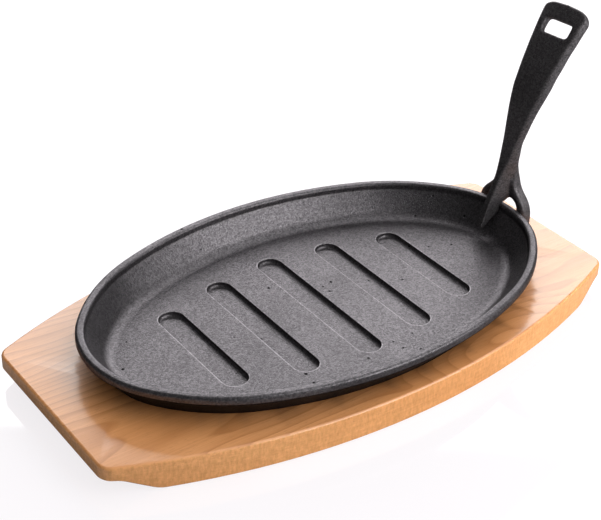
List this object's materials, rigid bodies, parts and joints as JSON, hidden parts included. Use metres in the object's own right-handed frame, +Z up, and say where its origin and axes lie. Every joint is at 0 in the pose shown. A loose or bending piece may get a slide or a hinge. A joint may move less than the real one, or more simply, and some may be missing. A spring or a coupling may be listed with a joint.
{
  "type": "sizzle platter",
  "caption": "Oval cast-iron sizzle platter with a grooved cooking floor, a clip-on forked lifting handle on its rim, and a recessed wooden serving board.",
  "frame": {"origin": "middle of the board's flat underside", "axes": "+X along the board towards the handle, +Y across the board, +Z up"},
  "size_m": [0.3356, 0.1744, 0.1428],
  "materials": {
    "board": "glossy lacquered beech",
    "platter": "seasoned sand-cast iron, worn paler on the floor and rim",
    "gripper_handle": "satin black cast iron"
  },
  "bodies": {
    "root": {"board": "board", "platter": "platter", "gripper_handle": "gripper_handle"}
  },
  "joints": []
}
